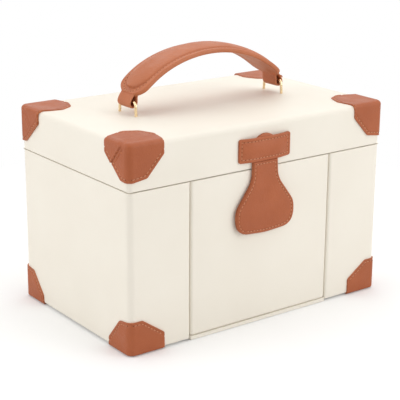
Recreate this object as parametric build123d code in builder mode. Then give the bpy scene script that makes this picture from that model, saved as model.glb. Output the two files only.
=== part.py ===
from build123d import *
import os
from math import atan2, cos, degrees, hypot, radians, sin

os.makedirs("parts", exist_ok=True)

# Jewellery case, closed. X runs to the right seen from the front, Y to the back, Z up.
# The origin is on the ground, under the middle of the case. All sizes in millimetres.

# The case as a whole
case_width = 276.0
case_depth = 174.0
seam_height = 142.0
lid_height = 39.0
board_thickness = 4.0
corner_round = 4.0
seam_chamfer = 0.8
foot_round = 1.0
groove_round = 1.5

# Gaps between the pieces that move
wing_width = 60.9
groove_gap = 0.8
lid_to_wing_gap = 0.8
lid_to_core_gap = 0.6
flap_to_core_gap = 0.6

half_width = case_width / 2
half_depth = case_depth / 2
lid_top = seam_height + lid_height
wing_inner = half_width - wing_width
core_half = wing_inner - groove_gap / 2
bay_half = core_half - board_thickness
core_top = seam_height - lid_to_core_gap
wing_top = seam_height - lid_to_wing_gap
core_back = half_depth - board_thickness

# The drop front: its lower edge is a round bead that turns in a hinge strip
flap_thickness = 5.0
flap_crease = 3.6
flap_half = wing_inner - groove_gap
flap_round = flap_thickness / 2
flap_axis_y = -half_depth + flap_round
flap_axis_z = flap_crease + flap_round
core_front = -half_depth + flap_thickness + flap_to_core_gap

# Lengths of the shapes that cut: past a face, and right through the case
cut_over = 2.0
cut_through = 400.0

# Heights of the levels behind the drop front
base_thickness = 3.0
shelf_thickness = 3.0
lower_shelf_z = 42.0
middle_shelf_z = 74.0
tray_floor_z = 106.0
tray_bottom = tray_floor_z + shelf_thickness


def board(low, high):
    """A flat board between two opposite corners."""
    size = [b - a for a, b in zip(low, high)]
    middle = [(a + b) / 2 for a, b in zip(low, high)]
    with BuildPart() as piece:
        with Locations(tuple(middle)):
            Box(*size)
    return piece


def corner_at(sketch, point):
    """The corner of an outline that lies at a point."""
    return min(
        sketch.vertices(),
        key=lambda v: abs(v.X - point[0]) + abs(v.Y - point[1]),
    )


def prism(points, plane, reach, rounded=(), radius=1.0):
    """A closed outline pushed both ways from its plane, with some corners rounded."""
    with BuildPart() as piece:
        with BuildSketch(plane) as outline:
            with BuildLine():
                Polyline(*points, close=True)
            make_face()
            if rounded:
                fillet([corner_at(outline, points[n]) for n in rounded], radius)
        extrude(amount=reach, both=True)
    return piece


# Base board under the middle section; the case stands on it
base_setback = 0.8
base_board = board(
    (-core_half, -half_depth + base_setback, 0),
    (core_half, half_depth, base_thickness),
)
base_board.part.label = "base_board"
export_step(base_board.part, "parts/base_board.step")

# Back panel of the middle section; the lid and both wings hinge on it
back_panel = board(
    (-core_half, core_back, base_thickness),
    (core_half, half_depth, core_top),
)
back_panel.part.label = "back_panel"
export_step(back_panel.part, "parts/back_panel.step")

# Upright partitions between the middle section and the wings
for side, name in ((-1, "left_partition"), (1, "right_partition")):
    inner, outer = sorted((side * bay_half, side * core_half))
    partition = board(
        (inner, core_front, base_thickness), (outer, core_back, core_top)
    )
    partition.part.label = name
    export_step(partition.part, f"parts/{name}.step")

# Shelves that carry the drawers, and the floor of the top tray
for name, height in (
    ("lower_shelf", lower_shelf_z),
    ("middle_shelf", middle_shelf_z),
    ("tray_floor", tray_floor_z),
):
    shelf = board(
        (-bay_half, core_front, height),
        (bay_half, core_back, height + shelf_thickness),
    )
    shelf.part.label = name
    export_step(shelf.part, f"parts/{name}.step")

# Front rail of the top tray, behind the top of the drop front
tray_front = board(
    (-bay_half, core_front, tray_bottom),
    (bay_half, core_front + board_thickness, core_top),
)
tray_front.part.label = "tray_front"
export_step(tray_front.part, "parts/tray_front.step")

# Dividers of the top tray: one from front to back, one across its right side
divider_thickness = 3.0
divider_drop = 3.4
divider_top = core_top - divider_drop
divider_x = 16.0
cross_divider_y = 1.0
tray_inner_front = core_front + board_thickness
tray_divider = board(
    (divider_x, tray_inner_front, tray_bottom),
    (divider_x + divider_thickness, core_back, divider_top),
)
tray_divider.part.label = "tray_divider"
export_step(tray_divider.part, "parts/tray_divider.step")
tray_cross_divider = board(
    (divider_x + divider_thickness, cross_divider_y, tray_bottom),
    (bay_half, cross_divider_y + divider_thickness, divider_top),
)
tray_cross_divider.part.label = "tray_cross_divider"
export_step(tray_cross_divider.part, "parts/tray_cross_divider.step")

# Ring cushion: soft rolls side by side, rings are pressed into the grooves between them
roll_count = 7
roll_height = 25.0
roll_crown = 7.0
roll_groove = 9.0
groove_width = 1.0
cushion_play = 0.4
cushion_front = tray_inner_front + cushion_play
cushion_back = core_back - cushion_play
cushion_left = -bay_half + cushion_play
cushion_right = divider_x - cushion_play
cushion_depth = cushion_back - cushion_front
roll_width = (cushion_depth - (roll_count - 1) * groove_width) / roll_count
roll_shoulder = tray_bottom + roll_height - roll_crown
groove_foot = tray_bottom + roll_height - roll_crown - roll_groove
with BuildPart() as ring_cushion:
    with BuildSketch(Plane.YZ.offset(cushion_left)):
        with BuildLine():
            Polyline(
                (cushion_front, roll_shoulder),
                (cushion_front, tray_bottom),
                (cushion_back, tray_bottom),
                (cushion_back, roll_shoulder),
            )
            for n in reversed(range(roll_count)):
                front_y = cushion_front + n * (roll_width + groove_width)
                back_y = front_y + roll_width
                ThreePointArc(
                    (back_y, roll_shoulder),
                    ((front_y + back_y) / 2, roll_shoulder + roll_crown),
                    (front_y, roll_shoulder),
                )
                if n > 0:
                    Polyline(
                        (front_y, roll_shoulder),
                        (front_y, groove_foot),
                        (front_y - groove_width, groove_foot),
                        (front_y - groove_width, roll_shoulder),
                    )
        make_face()
    extrude(amount=cushion_right - cushion_left)
ring_cushion.part.label = "ring_cushion"
export_step(ring_cushion.part, "parts/ring_cushion.step")

# Hinge strip of the drop front: it edges the base board and cups the flap's round bead
strip_proud = 0.2
strip_foot = 0.3
cup_gap = 0.15
cup_wall = 0.4
strip_thick = 0.3
with BuildPart() as flap_hinge_strip:
    with BuildSketch(Plane.YZ.offset(-flap_half)):
        with BuildLine():
            cup = flap_round + cup_gap
            back_y = flap_axis_y + cup
            Polyline(
                (flap_axis_y, flap_axis_z - cup),
                (-half_depth - strip_proud, base_thickness + strip_thick),
                (-half_depth - strip_proud, strip_foot),
                (-half_depth + base_setback, strip_foot),
                (-half_depth + base_setback, base_thickness),
                (back_y + cup_wall, base_thickness),
                (back_y + cup_wall, flap_axis_z),
                (back_y, flap_axis_z),
            )
            RadiusArc(
                (back_y, flap_axis_z), (flap_axis_y, flap_axis_z - cup), cup
            )
        make_face()
    extrude(amount=2 * flap_half)
flap_hinge_strip.part.label = "flap_hinge_strip"
export_step(flap_hinge_strip.part, "parts/flap_hinge_strip.step")

# Drop front panel: padded board between the wings, round along its lower edge
with BuildPart() as front_flap:
    with Locations((0, flap_axis_y, (flap_axis_z + wing_top) / 2)):
        Box(2 * flap_half, flap_thickness, wing_top - flap_axis_z)
    upright_edges = front_flap.faces().sort_by(Axis.Y)[0].edges().filter_by(Axis.Z)
    fillet(upright_edges, radius=groove_round)
    top_edge = front_flap.faces().sort_by(Axis.Z)[-1].edges().filter_by(Axis.X)
    chamfer(top_edge.sort_by(Axis.Y)[0], length=seam_chamfer)
    with BuildSketch(Plane.YZ.offset(-flap_half + groove_round)):
        with Locations((flap_axis_y, flap_axis_z)):
            Circle(flap_round)
    extrude(amount=2 * (flap_half - groove_round))
front_flap.part.label = "front_flap"
export_step(front_flap.part, "parts/front_flap.step")

# Steel catch disc on the drop front, behind the leather tongue
catch_drop = 41.0
catch_z = seam_height - catch_drop
catch_radius = 7.0
catch_thickness = 0.8
with BuildPart() as catch_disc:
    with BuildSketch(Plane.XZ.offset(half_depth)):
        with Locations((0, catch_z)):
            Circle(catch_radius)
    extrude(amount=catch_thickness)
catch_disc.part.label = "catch_disc"
export_step(catch_disc.part, "parts/catch_disc.step")

# Drawers behind the drop front, each with a metal knob and one divider
drawer_height = 28.0
drawer_side_gap = 0.6
drawer_lift = 0.4
drawer_recess = 10.0
drawer_back_gap = 0.6
drawer_wall = 3.0
drawer_front_wall = 5.0
drawer_half = bay_half - drawer_side_gap
drawer_front_y = core_front + drawer_recess
drawer_back_y = core_back - drawer_back_gap
knob_radius = 4.6
knob_neck_radius = 2.0
knob_reach = 9.2
knob_head = 5.2
knob_bevel = 1.3
knob_sides = 8
divider_share = {"upper_drawer": 0.38, "lower_drawer": 0.62}
for drawer_name, shelf_z in (
    ("lower_drawer", lower_shelf_z),
    ("upper_drawer", middle_shelf_z),
):
    foot = shelf_z + shelf_thickness + drawer_lift
    with BuildPart() as drawer_box:
        with Locations(
            (0, (drawer_front_y + drawer_back_y) / 2, foot + drawer_height / 2)
        ):
            Box(2 * drawer_half, drawer_back_y - drawer_front_y, drawer_height)
        front_rim = drawer_box.faces().sort_by(Axis.Y)[0].edges()
        fillet(front_rim, radius=groove_round)
        well_front = drawer_front_y + drawer_front_wall
        well_back = drawer_back_y - drawer_wall
        with Locations(
            (0, (well_front + well_back) / 2, foot + drawer_wall + drawer_height / 2)
        ):
            Box(
                2 * (drawer_half - drawer_wall),
                well_back - well_front,
                drawer_height,
                mode=Mode.SUBTRACT,
            )
    drawer_box.part.label = f"{drawer_name}_box"
    export_step(drawer_box.part, f"parts/{drawer_name}_box.step")

    with BuildPart() as knob:
        knob_z = foot + drawer_height / 2
        with BuildSketch(Plane.XZ.offset(-drawer_front_y)):
            with Locations((0, knob_z)):
                Circle(knob_neck_radius)
        extrude(amount=knob_reach - knob_head)
        with BuildSketch(Plane.XZ.offset(-drawer_front_y + knob_reach - knob_head)):
            with Locations((0, knob_z)):
                RegularPolygon(knob_radius, knob_sides)
        extrude(amount=knob_head)
        chamfer(knob.faces().sort_by(Axis.Y)[0].edges(), length=knob_bevel)
    knob.part.label = f"{drawer_name}_knob"
    export_step(knob.part, f"parts/{drawer_name}_knob.step")

    share_x = -drawer_half + 2 * drawer_half * divider_share[drawer_name]
    drawer_divider = board(
        (share_x, well_front, foot + drawer_wall),
        (share_x + divider_thickness, well_back, foot + drawer_height - drawer_wall),
    )
    drawer_divider.part.label = f"{drawer_name}_divider"
    export_step(drawer_divider.part, f"parts/{drawer_name}_divider.step")

# Outer forms: the lid has soft edges and corners, the wings soft corners
with BuildPart() as lid_form:
    with Locations((0, 0, (seam_height + lid_top) / 2)):
        Box(case_width, case_depth, lid_height)
    uprights = lid_form.edges().filter_by(Axis.Z)
    rim = lid_form.faces().sort_by(Axis.Z)[-1].edges()
    fillet(uprights + rim, radius=corner_round)
    chamfer(lid_form.faces().sort_by(Axis.Z)[0].edges(), length=seam_chamfer)

# The same lid with flat bevels that touch its round edges, for the inside of its caps
edge_bevel = corner_round * (2 - 2**0.5)
with BuildPart() as lid_bevelled:
    with Locations((0, 0, (seam_height + lid_top) / 2)):
        Box(case_width, case_depth, lid_height)
    uprights = lid_bevelled.edges().filter_by(Axis.Z)
    rim = lid_bevelled.faces().sort_by(Axis.Z)[-1].edges()
    chamfer(uprights + rim, length=edge_bevel)

wing_foot = 2.0


def wing_form(side):
    """The closed outer form of a wing, soft at its edges."""
    with BuildPart() as form:
        with Locations(
            (side * (half_width + wing_inner) / 2, 0, (wing_foot + wing_top) / 2)
        ):
            Box(wing_width, case_depth, wing_top - wing_foot)
        uprights = form.edges().filter_by(Axis.Z)
        outside = uprights.filter_by(lambda e: abs(e.center().X) > wing_inner + 1)
        inside = uprights.filter_by(lambda e: abs(e.center().X) < wing_inner + 1)
        fillet(outside, radius=corner_round)
        fillet(inside.sort_by(Axis.Y)[0], radius=groove_round)
        chamfer(form.faces().sort_by(Axis.Z)[-1].edges(), length=seam_chamfer)
    return form


# Handle rings: bent gold staples whose legs pass through the lid's top board
ring_x = 81.0
ring_half_span = 13.0
wire_radius = 1.25
wire_sides = 8
bend_steps = (0, 30, 60, 90)
wire_bend = 3.2
ring_rise = 13.4
ring_bar_z = lid_top + ring_rise
ring_hole_gap = 0.1
lid_ceiling = lid_top - board_thickness
for side, name in ((-1, "left_handle_ring"), (1, "right_handle_ring")):
    with BuildPart() as ring:
        bend = [
            (
                ring_half_span - wire_bend * (1 - cos(radians(turn))),
                ring_bar_z - wire_bend * (1 - sin(radians(turn))),
            )
            for turn in bend_steps
        ]
        half = [(ring_half_span, lid_ceiling)] + bend
        route = [(-y, z) for y, z in half] + [(y, z) for y, z in reversed(half)]
        with BuildLine() as wire:
            Polyline(*[(side * ring_x, y, z) for y, z in route])
        with BuildSketch(Plane.XY.offset(lid_ceiling)):
            with Locations((side * ring_x, -ring_half_span)):
                RegularPolygon(wire_radius, wire_sides, rotation=180 / wire_sides)
        sweep(path=wire.wires()[0], transition=Transition.RIGHT)
    ring.part.label = name
    export_step(ring.part, f"parts/{name}.step")

# Lid shell: one leatherette-covered box, open below
with BuildPart() as lid_shell:
    add(lid_form.part)
    with Locations((0, 0, (seam_height + lid_ceiling - cut_over) / 2)):
        Box(
            case_width - 2 * board_thickness,
            case_depth - 2 * board_thickness,
            lid_ceiling - seam_height + cut_over,
            mode=Mode.SUBTRACT,
        )
    with BuildSketch(Plane.XY.offset(lid_ceiling)):
        with Locations(
            *[
                (a * ring_x, b * ring_half_span)
                for a in (-1, 1)
                for b in (-1, 1)
            ]
        ):
            Circle(wire_radius + ring_hole_gap)
    extrude(amount=3 * board_thickness, mode=Mode.SUBTRACT)
lid_shell.part.label = "lid_shell"
export_step(lid_shell.part, "parts/lid_shell.step")

# Lining board inside the lid, and the framed vanity mirror that it carries
lining_margin = 0.5
lining_thickness = 2.4
mirror_size = (196.0, 112.0)
mirror_thickness = 3.0
mirror_corner = 8.0
bezel_width = 7.0
bezel_depth = 4.2
bezel_lip = 1.0
lining_half_x = half_width - board_thickness - lining_margin
lining_half_y = half_depth - board_thickness - lining_margin
lining_z = lid_ceiling - lining_thickness
lid_lining = board(
    (-lining_half_x, -lining_half_y, lining_z), (lining_half_x, lining_half_y, lid_ceiling)
)
lid_lining.part.label = "lid_lining"
export_step(lid_lining.part, "parts/lid_lining.step")

with BuildPart() as lid_mirror:
    with BuildSketch(Plane.XY.offset(lining_z)):
        RectangleRounded(*mirror_size, mirror_corner)
    extrude(amount=-mirror_thickness)
lid_mirror.part.label = "mirror"
export_step(lid_mirror.part, "parts/mirror.step")

with BuildPart() as mirror_frame:
    with BuildSketch(Plane.XY.offset(lining_z)):
        RectangleRounded(
            mirror_size[0] + 2 * bezel_width,
            mirror_size[1] + 2 * bezel_width,
            mirror_corner + bezel_width,
        )
        RectangleRounded(*mirror_size, mirror_corner, mode=Mode.SUBTRACT)
    extrude(amount=-mirror_thickness)
    with BuildSketch(Plane.XY.offset(lining_z - mirror_thickness)):
        RectangleRounded(
            mirror_size[0] + 2 * bezel_width,
            mirror_size[1] + 2 * bezel_width,
            mirror_corner + bezel_width,
        )
        RectangleRounded(
            mirror_size[0] - 2 * bezel_lip,
            mirror_size[1] - 2 * bezel_lip,
            mirror_corner - bezel_lip,
            mode=Mode.SUBTRACT,
        )
    extrude(amount=mirror_thickness - bezel_depth)
mirror_frame.part.label = "mirror_frame"
export_step(mirror_frame.part, "parts/mirror_frame.step")

# Wing shells: necklace compartments, open towards the middle section
for side, name in ((-1, "left_wing_shell"), (1, "right_wing_shell")):
    cavity_outer = half_width - board_thickness
    cavity_inner = wing_inner - cut_over
    with BuildPart() as wing_shell:
        add(wing_form(side).part)
        with Locations(
            (side * (cavity_outer + cavity_inner) / 2, 0, (wing_foot + wing_top) / 2)
        ):
            Box(
                cavity_outer - cavity_inner,
                case_depth - 2 * board_thickness,
                wing_top - wing_foot - 2 * board_thickness,
                mode=Mode.SUBTRACT,
            )
    wing_shell.part.label = name
    export_step(wing_shell.part, f"parts/{name}.step")

# Hook bars: brass strips with bent tabs for necklaces, high up inside each wing
hook_count = 6
hook_pitch = 24.0
hook_drop = 20.0
hook_z = seam_height - hook_drop
bar_length = 142.0
bar_height = 12.0
bar_thickness = 1.2
bar_corner = 5.5
tab_width = 4.0
tab_reach = 12.0
tab_rise = 6.0
tab_bend = 2.6
for side, name in ((-1, "left_hook_bar"), (1, "right_hook_bar")):
    wall_x = side * (half_width - board_thickness)
    face_x = wall_x - side * bar_thickness
    tip_x = wall_x - side * tab_reach
    bend_x = tip_x + side * tab_bend
    with BuildPart() as hook_bar:
        with Locations(((wall_x + face_x) / 2, 0, hook_z)):
            Box(bar_thickness, bar_length, bar_height)
        fillet(hook_bar.edges().filter_by(Axis.X), radius=bar_corner)
        for n in range(hook_count):
            hook_y = (n - (hook_count - 1) / 2) * hook_pitch
            with BuildSketch(Plane.XZ.offset(-hook_y - tab_width / 2)):
                with BuildLine() as bend:
                    Polyline(
                        (face_x, hook_z),
                        (bend_x, hook_z),
                        (tip_x, hook_z + tab_bend),
                        (tip_x, hook_z + tab_rise),
                    )
                trace(bend.line, bar_thickness)
            extrude(amount=tab_width)
    hook_bar.part.label = name
    export_step(hook_bar.part, f"parts/{name}.step")

# Gathered pockets that catch the ends of the necklaces, low down inside each wing
pocket_half = 70.0
pocket_height = 48.0
pocket_bulge = 15.0
pocket_sheet = 1.6
pocket_foot = wing_foot + board_thickness
for side, name in ((-1, "left_pocket"), (1, "right_pocket")):
    wall_x = side * (half_width - board_thickness)
    with BuildPart() as pocket:
        with BuildSketch(Plane.XY.offset(pocket_foot)):
            with BuildLine() as plan:
                ThreePointArc(
                    (wall_x, -pocket_half),
                    (wall_x - side * pocket_bulge, 0),
                    (wall_x, pocket_half),
                )
            trace(plan.line, pocket_sheet)
            with Locations((wall_x + side * board_thickness, 0)):
                Rectangle(2 * board_thickness, case_depth, mode=Mode.SUBTRACT)
        extrude(amount=pocket_height)
    pocket.part.label = name
    export_step(pocket.part, f"parts/{name}.step")

# Leather corner caps: one skin folded over three faces, its edges trimmed to an outline
cap_skin = 1.3
cap_block = 48.0
cap_slack = 0.35
lobe_out = 1.5
lobe_in = 15.0
lobe_round = 9.0
cap_corner_round = 3.0
lobe_lead = 2.0
lobe_lean = 2.5
face_over = 5.0
rim_room = 8.0
rim_band = 2.5
foot_lean = 0.5
fold_share = 0.70
fold_drop = 19.0
fold_top = 5.5
fold_tilt = 1.6
fold_hem_out = 0.8
fold_hem_in = 0.4


def face_outline(leg, straight, end, height):
    """A cap's outline on an upright face, measured from the case's corner."""
    wide = leg + cap_slack
    return [
        (-face_over, -face_over),
        (leg + rim_room, -face_over),
        (leg + rim_room, rim_band),
        (wide, rim_band),
        (wide, straight),
        (end, height),
        (-face_over, height + foot_lean),
    ]


def corner_cap(side, end, form, rim_z, down, front_leg, side_leg, fold):
    """A cap on the corner at (side, end); down is 1 below a top edge, -1 above a foot."""

    def at_x(u):
        return side * (half_width - u)

    def at_y(v):
        return end * (half_depth - v)

    def at_z(w):
        return rim_z - down * w

    skin_x, skin_y, skin_z = at_x(-cap_skin), at_y(-cap_skin), at_z(-cap_skin)
    middle = (
        at_x((cap_block - cap_skin) / 2),
        at_y((cap_block - cap_skin) / 2),
        at_z((cap_block - cap_skin) / 2),
    )
    size = cap_block + cap_skin
    with BuildPart() as cap:
        with Locations(middle):
            Box(size, size, size)
        upright = cap.edges().filter_by(Axis.Z).sort_by_distance((skin_x, skin_y, 0))[0]
        rim = cap.faces().sort_by_distance((middle[0], middle[1], skin_z))[0].edges()
        near_rim = rim.filter_by(
            lambda e: abs(e.center().X) > abs(middle[0]) - 0.1
            and abs(e.center().Y) > abs(middle[1]) - 0.1
        )
        if down > 0:
            fillet(near_rim + [upright], radius=corner_round + cap_skin)
        else:
            fillet(upright, radius=corner_round + cap_skin)
            foot = cap.faces().sort_by(Axis.Z)[0].edges()
            chamfer(
                foot.filter_by(
                    lambda e: abs(e.center().X) > abs(middle[0]) - 0.1
                    and abs(e.center().Y) > abs(middle[1]) - 0.1
                ),
                length=foot_round,
            )
        add(form.part, mode=Mode.SUBTRACT)
        a, b = front_leg[0], side_leg[0]
        top_outline = [
            (-face_over, -face_over),
            (a, -face_over),
            (a + lobe_out, b - lobe_in + lobe_lead),
            (a - lobe_in, b + lobe_lean),
            (-face_over, b),
        ]
        plan = prism(
            [(at_x(u), at_y(v)) for u, v in top_outline],
            Plane.XY,
            cut_through,
            (2, 3),
            lobe_round,
        )
        add(plan.part, mode=Mode.INTERSECT)
        front = prism(
            [(at_x(u), at_z(w)) for u, w in face_outline(*front_leg)],
            Plane.XZ,
            cut_through,
            (4, 5),
            cap_corner_round,
        )
        add(front.part, mode=Mode.INTERSECT)
        flank = prism(
            [(at_y(v), at_z(w)) for v, w in face_outline(*side_leg)],
            Plane.YZ,
            cut_through,
            (4, 5),
            cap_corner_round,
        )
        add(flank.part, mode=Mode.INTERSECT)
        if fold:
            tilt = radians(fold_tilt)
            turn = -side * end
            plane = Plane(
                origin=(skin_x, skin_y, rim_z),
                x_dir=(side * sin(tilt), -end * cos(tilt), 0),
                z_dir=(side * cos(tilt), end * sin(tilt), 0),
            )
            leg, straight, low_v, low_w = side_leg
            points = [
                (corner_round, fold_top),
                (fold_share * leg, fold_drop),
                (low_v + fold_hem_out, low_w - fold_hem_in),
                (corner_round, low_w),
            ]
            with BuildSketch(plane):
                with BuildLine():
                    Polyline(*[(v, -turn * down * w) for v, w in points], close=True)
                make_face()
            extrude(amount=-cap_skin / 2)
    return cap


front_leg_top = (33.5, 11.0, 16.5, 29.5)
side_leg_top = (32.0, 11.0, 10.5, 31.0)
front_leg_foot = (33.5, 13.0, 12.0, 28.3)
side_leg_foot = (31.5, 7.0, 13.5, 26.8)
for side, left_right in ((-1, "left"), (1, "right")):
    for end, front_rear in ((-1, "front"), (1, "rear")):
        name = f"{front_rear}_{left_right}_lid_cap"
        cap = corner_cap(
            side, end, lid_bevelled, lid_top, 1, front_leg_top, side_leg_top, True
        )
        cap.part.label = name
        export_step(cap.part, f"parts/{name}.step")

        name = f"{front_rear}_{left_right}_foot_cap"
        cap = corner_cap(
            side, end, wing_form(side), wing_foot, -1, front_leg_foot, side_leg_foot, False
        )
        cap.part.label = name
        export_step(cap.part, f"parts/{name}.step")

# Leather keeper stitched flat to the lid's front, raised in the middle over the strap
keeper_half = 28.0
keeper_lift = 6.5
keeper_foot = seam_height + keeper_lift
keeper_height = 21.0
keeper_skin = 1.5
keeper_corner = 2.6
keeper_flat = 19.0
keeper_bend = 3.0
keeper_edge = 0.6
tunnel_lean = 1.0
tunnel_flare = 1.6
front_band_inset = 10.0
front_band_start = half_depth - front_band_inset
front_band_depth = 30.0
strap_half = 13.5
strap_thickness = 2.6
strap_play = 0.15
strap_face = -half_depth - strap_play
tunnel_half = strap_half + 0.5
tunnel_y = strap_face - strap_thickness - strap_play
keeper_flat_y = -half_depth - keeper_skin
keeper_top_y = tunnel_y - keeper_skin
with BuildPart() as keeper:
    plan_points = [
        (-keeper_half, -half_depth),
        (-keeper_half, keeper_flat_y),
        (-keeper_flat, keeper_flat_y),
        (-tunnel_half + tunnel_lean, keeper_top_y),
        (tunnel_half - tunnel_lean, keeper_top_y),
        (keeper_flat, keeper_flat_y),
        (keeper_half, keeper_flat_y),
        (keeper_half, -half_depth),
        (tunnel_half + tunnel_flare, -half_depth),
        (tunnel_half, tunnel_y),
        (-tunnel_half, tunnel_y),
        (-tunnel_half - tunnel_flare, -half_depth),
    ]
    with BuildSketch(Plane.XY.offset(keeper_foot)) as keeper_plan:
        with BuildLine():
            Polyline(*plan_points, close=True)
        make_face()
        bends = [corner_at(keeper_plan, plan_points[n]) for n in (2, 3, 4, 5)]
        fillet(bends, keeper_bend)
        edges = [corner_at(keeper_plan, plan_points[n]) for n in (1, 6)]
        fillet(edges, keeper_edge)
    extrude(amount=keeper_height)
    with BuildSketch(Plane.XZ.offset(front_band_start)):
        with Locations((0, keeper_foot + keeper_height / 2)):
            RectangleRounded(2 * keeper_half, keeper_height, keeper_corner)
    extrude(amount=front_band_depth, mode=Mode.INTERSECT)
keeper.part.label = "keeper"
export_step(keeper.part, "parts/keeper.step")

# Held end of the closing strap: it lies under the keeper, its round tip shows above
strap_show = 2.3
strap_tip_z = keeper_foot + keeper_height + strap_show
bend_gap = 0.2
with BuildPart() as strap_end:
    with BuildSketch(Plane.XZ.offset(-strap_face)):
        tip_centre_z = strap_tip_z - strap_half
        with Locations((0, tip_centre_z)):
            Circle(strap_half)
        with Locations((0, tip_centre_z - strap_half)):
            Rectangle(2 * strap_half, 2 * strap_half)
        with Locations((0, (keeper_foot + strap_tip_z) / 2)):
            Rectangle(2 * strap_half, strap_tip_z - keeper_foot, mode=Mode.INTERSECT)
    extrude(amount=strap_thickness)
strap_end.part.label = "strap_end"
export_step(strap_end.part, "parts/strap_end.step")

# Leather tongue: the free part of the strap, flared at its end, with a sewn-in magnet
tongue_top = keeper_foot - bend_gap
tongue_outline = [
    (0.0, tongue_top),
    (strap_half, tongue_top),
    (14.1, tongue_top - 16.9),
    (31.5, tongue_top - 40.9),
    (31.2, tongue_top - 61.4),
    (0.0, tongue_top - 63.1),
]
tongue_rounds = {2: 20.0, 3: 16.0, 4: 15.0}
tongue_bend = 60.0
tongue_lean = 0.9
lean_z = tongue_top - 14.3
hang_z = tongue_top - 36.3
tongue_cut_z = tongue_top - 68.3
tongue_cut_half = 40.0
magnet_radius = 8.0
magnet_rise = 1.4
magnet_gap = 0.2
boss_root = 0.3
tongue_back_low = -half_depth - catch_thickness - magnet_gap - magnet_rise
with BuildPart() as latch_tongue:
    with BuildSketch(Plane.YZ.offset(-tongue_cut_half)) as section:
        back = [
            (strap_face, tongue_top),
            (strap_face - tongue_lean, lean_z),
            (tongue_back_low, hang_z),
            (tongue_back_low, tongue_cut_z),
        ]
        front = [(y - strap_thickness, z) for y, z in back]
        with BuildLine():
            Polyline(*back, *reversed(front), close=True)
        make_face()
        bends = [corner_at(section, point) for point in back[1:3] + front[1:3]]
        fillet(bends, tongue_bend)
    extrude(amount=2 * tongue_cut_half)
    with BuildSketch(Plane.XZ.offset(front_band_start)) as outline:
        with BuildLine():
            Polyline(*tongue_outline, close=True)
        make_face()
        for n, radius in tongue_rounds.items():
            fillet(corner_at(outline, tongue_outline[n]), radius)
        mirror(about=Plane.YZ)
    extrude(amount=front_band_depth, mode=Mode.INTERSECT)
    with BuildSketch(Plane.XZ.offset(-tongue_back_low + boss_root)):
        with Locations((0, catch_z)):
            Circle(magnet_radius)
    extrude(amount=-boss_root - magnet_rise)
latch_tongue.part.label = "latch_tongue"
export_step(latch_tongue.part, "parts/latch_tongue.step")

# Handle: a padded leather arch whose end loops hang on the bars of the two rings
loop_outer = 4.45
loop_inner = 2.65
loop_play = 0.1
loop_z = ring_bar_z - (loop_inner - wire_radius - loop_play)
strap_arch_thickness = 4.0
arch_rise = 51.5
arch_top = lid_top + arch_rise
crown_bend = 115.0
crown_turn = 25.2
flank_bend = 105.0
flank_turn = 16.0
leg_length = 13.5
plan_cut_height = 100.0
tab_half = 9.6
handle_plan = [(0.0, 18.8), (72.0, 19.4), (80.0, tab_half), (92.0, tab_half)]
handle_plan_rounds = {1: 9.0, 2: 5.0}


def half_arch(rise):
    """The right half of the handle's arch, at a rise above its middle line."""
    crown = JernArc((0, arch_top + rise), (1, 0), crown_bend + rise, -crown_turn)
    flank = JernArc(crown @ 1, crown % 1, flank_bend + rise, -flank_turn)
    return Line(flank @ 1, flank @ 1 + (flank % 1) * leg_length)


def arch_band(low, high, reach):
    """A band along the arch, between two rises above its middle line."""
    with BuildPart() as band:
        with BuildSketch(Plane.XZ.offset(-reach)):
            with BuildLine():
                under = half_arch(low)
                over = half_arch(high)
                Line(under @ 1, over @ 1)
                Line((0, arch_top + low), (0, arch_top + high))
            make_face()
            mirror(about=Plane.YZ)
        extrude(amount=2 * reach)
    return band


def plan_outline(points, rounds, low_z):
    """A solid with a plan outline that is the same left and right, front and back."""
    with BuildPart() as piece:
        with BuildSketch(Plane.XY.offset(low_z)) as outline:
            with BuildLine():
                Polyline((0, 0), *points, (points[-1][0], 0), close=True)
            make_face()
            for n, radius in rounds.items():
                fillet(corner_at(outline, points[n]), radius)
            mirror(about=Plane.XZ)
            mirror(about=Plane.YZ)
        extrude(amount=plan_cut_height)
    return piece


def rise_of(point):
    """How far a point of the handle lies above the middle line of its arch."""
    crown_z = arch_top - crown_bend
    turn = degrees(atan2(abs(point.X), point.Z - crown_z))
    if turn <= crown_turn:
        return hypot(point.X, point.Z - crown_z) - crown_bend
    lean = radians(crown_turn)
    flank_x = (crown_bend - flank_bend) * sin(lean)
    flank_z = crown_z + (crown_bend - flank_bend) * cos(lean)
    turn = degrees(atan2(abs(point.X) - flank_x, point.Z - flank_z))
    if turn <= crown_turn + flank_turn:
        return hypot(abs(point.X) - flank_x, point.Z - flank_z) - flank_bend
    lean = radians(crown_turn + flank_turn)
    out = (abs(point.X) - flank_x) * sin(lean) + (point.Z - flank_z) * cos(lean)
    return out - flank_bend


arch_reach = 22.0
plan_low_z = loop_z - 2 * loop_outer
half_strap = strap_arch_thickness / 2
with BuildPart() as handle_strap:
    add(arch_band(-half_strap, half_strap, arch_reach).part)
    with BuildSketch(Plane.XZ.offset(-tab_half)):
        with Locations((-ring_x, loop_z), (ring_x, loop_z)):
            Circle(loop_outer)
    extrude(amount=2 * tab_half)
    with BuildSketch(Plane.XZ.offset(-arch_reach)):
        with Locations((-ring_x, loop_z), (ring_x, loop_z)):
            Circle(loop_inner)
    extrude(amount=2 * arch_reach, mode=Mode.SUBTRACT)
    outline = plan_outline(handle_plan, handle_plan_rounds, plan_low_z)
    add(outline.part, mode=Mode.INTERSECT)
handle_strap.part.label = "handle_strap"
export_step(handle_strap.part, "parts/handle_strap.step")

# Padded grip sewn on top of the handle strap
pad_rise = 2.8
pad_bevel = 2.0
pad_half = 15.0
pad_plan = [(0.0, 22.0), (62.0, 22.0), (62.0, pad_half), (73.0, 6.5)]
pad_plan_rounds = {3: 5.0}


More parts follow.
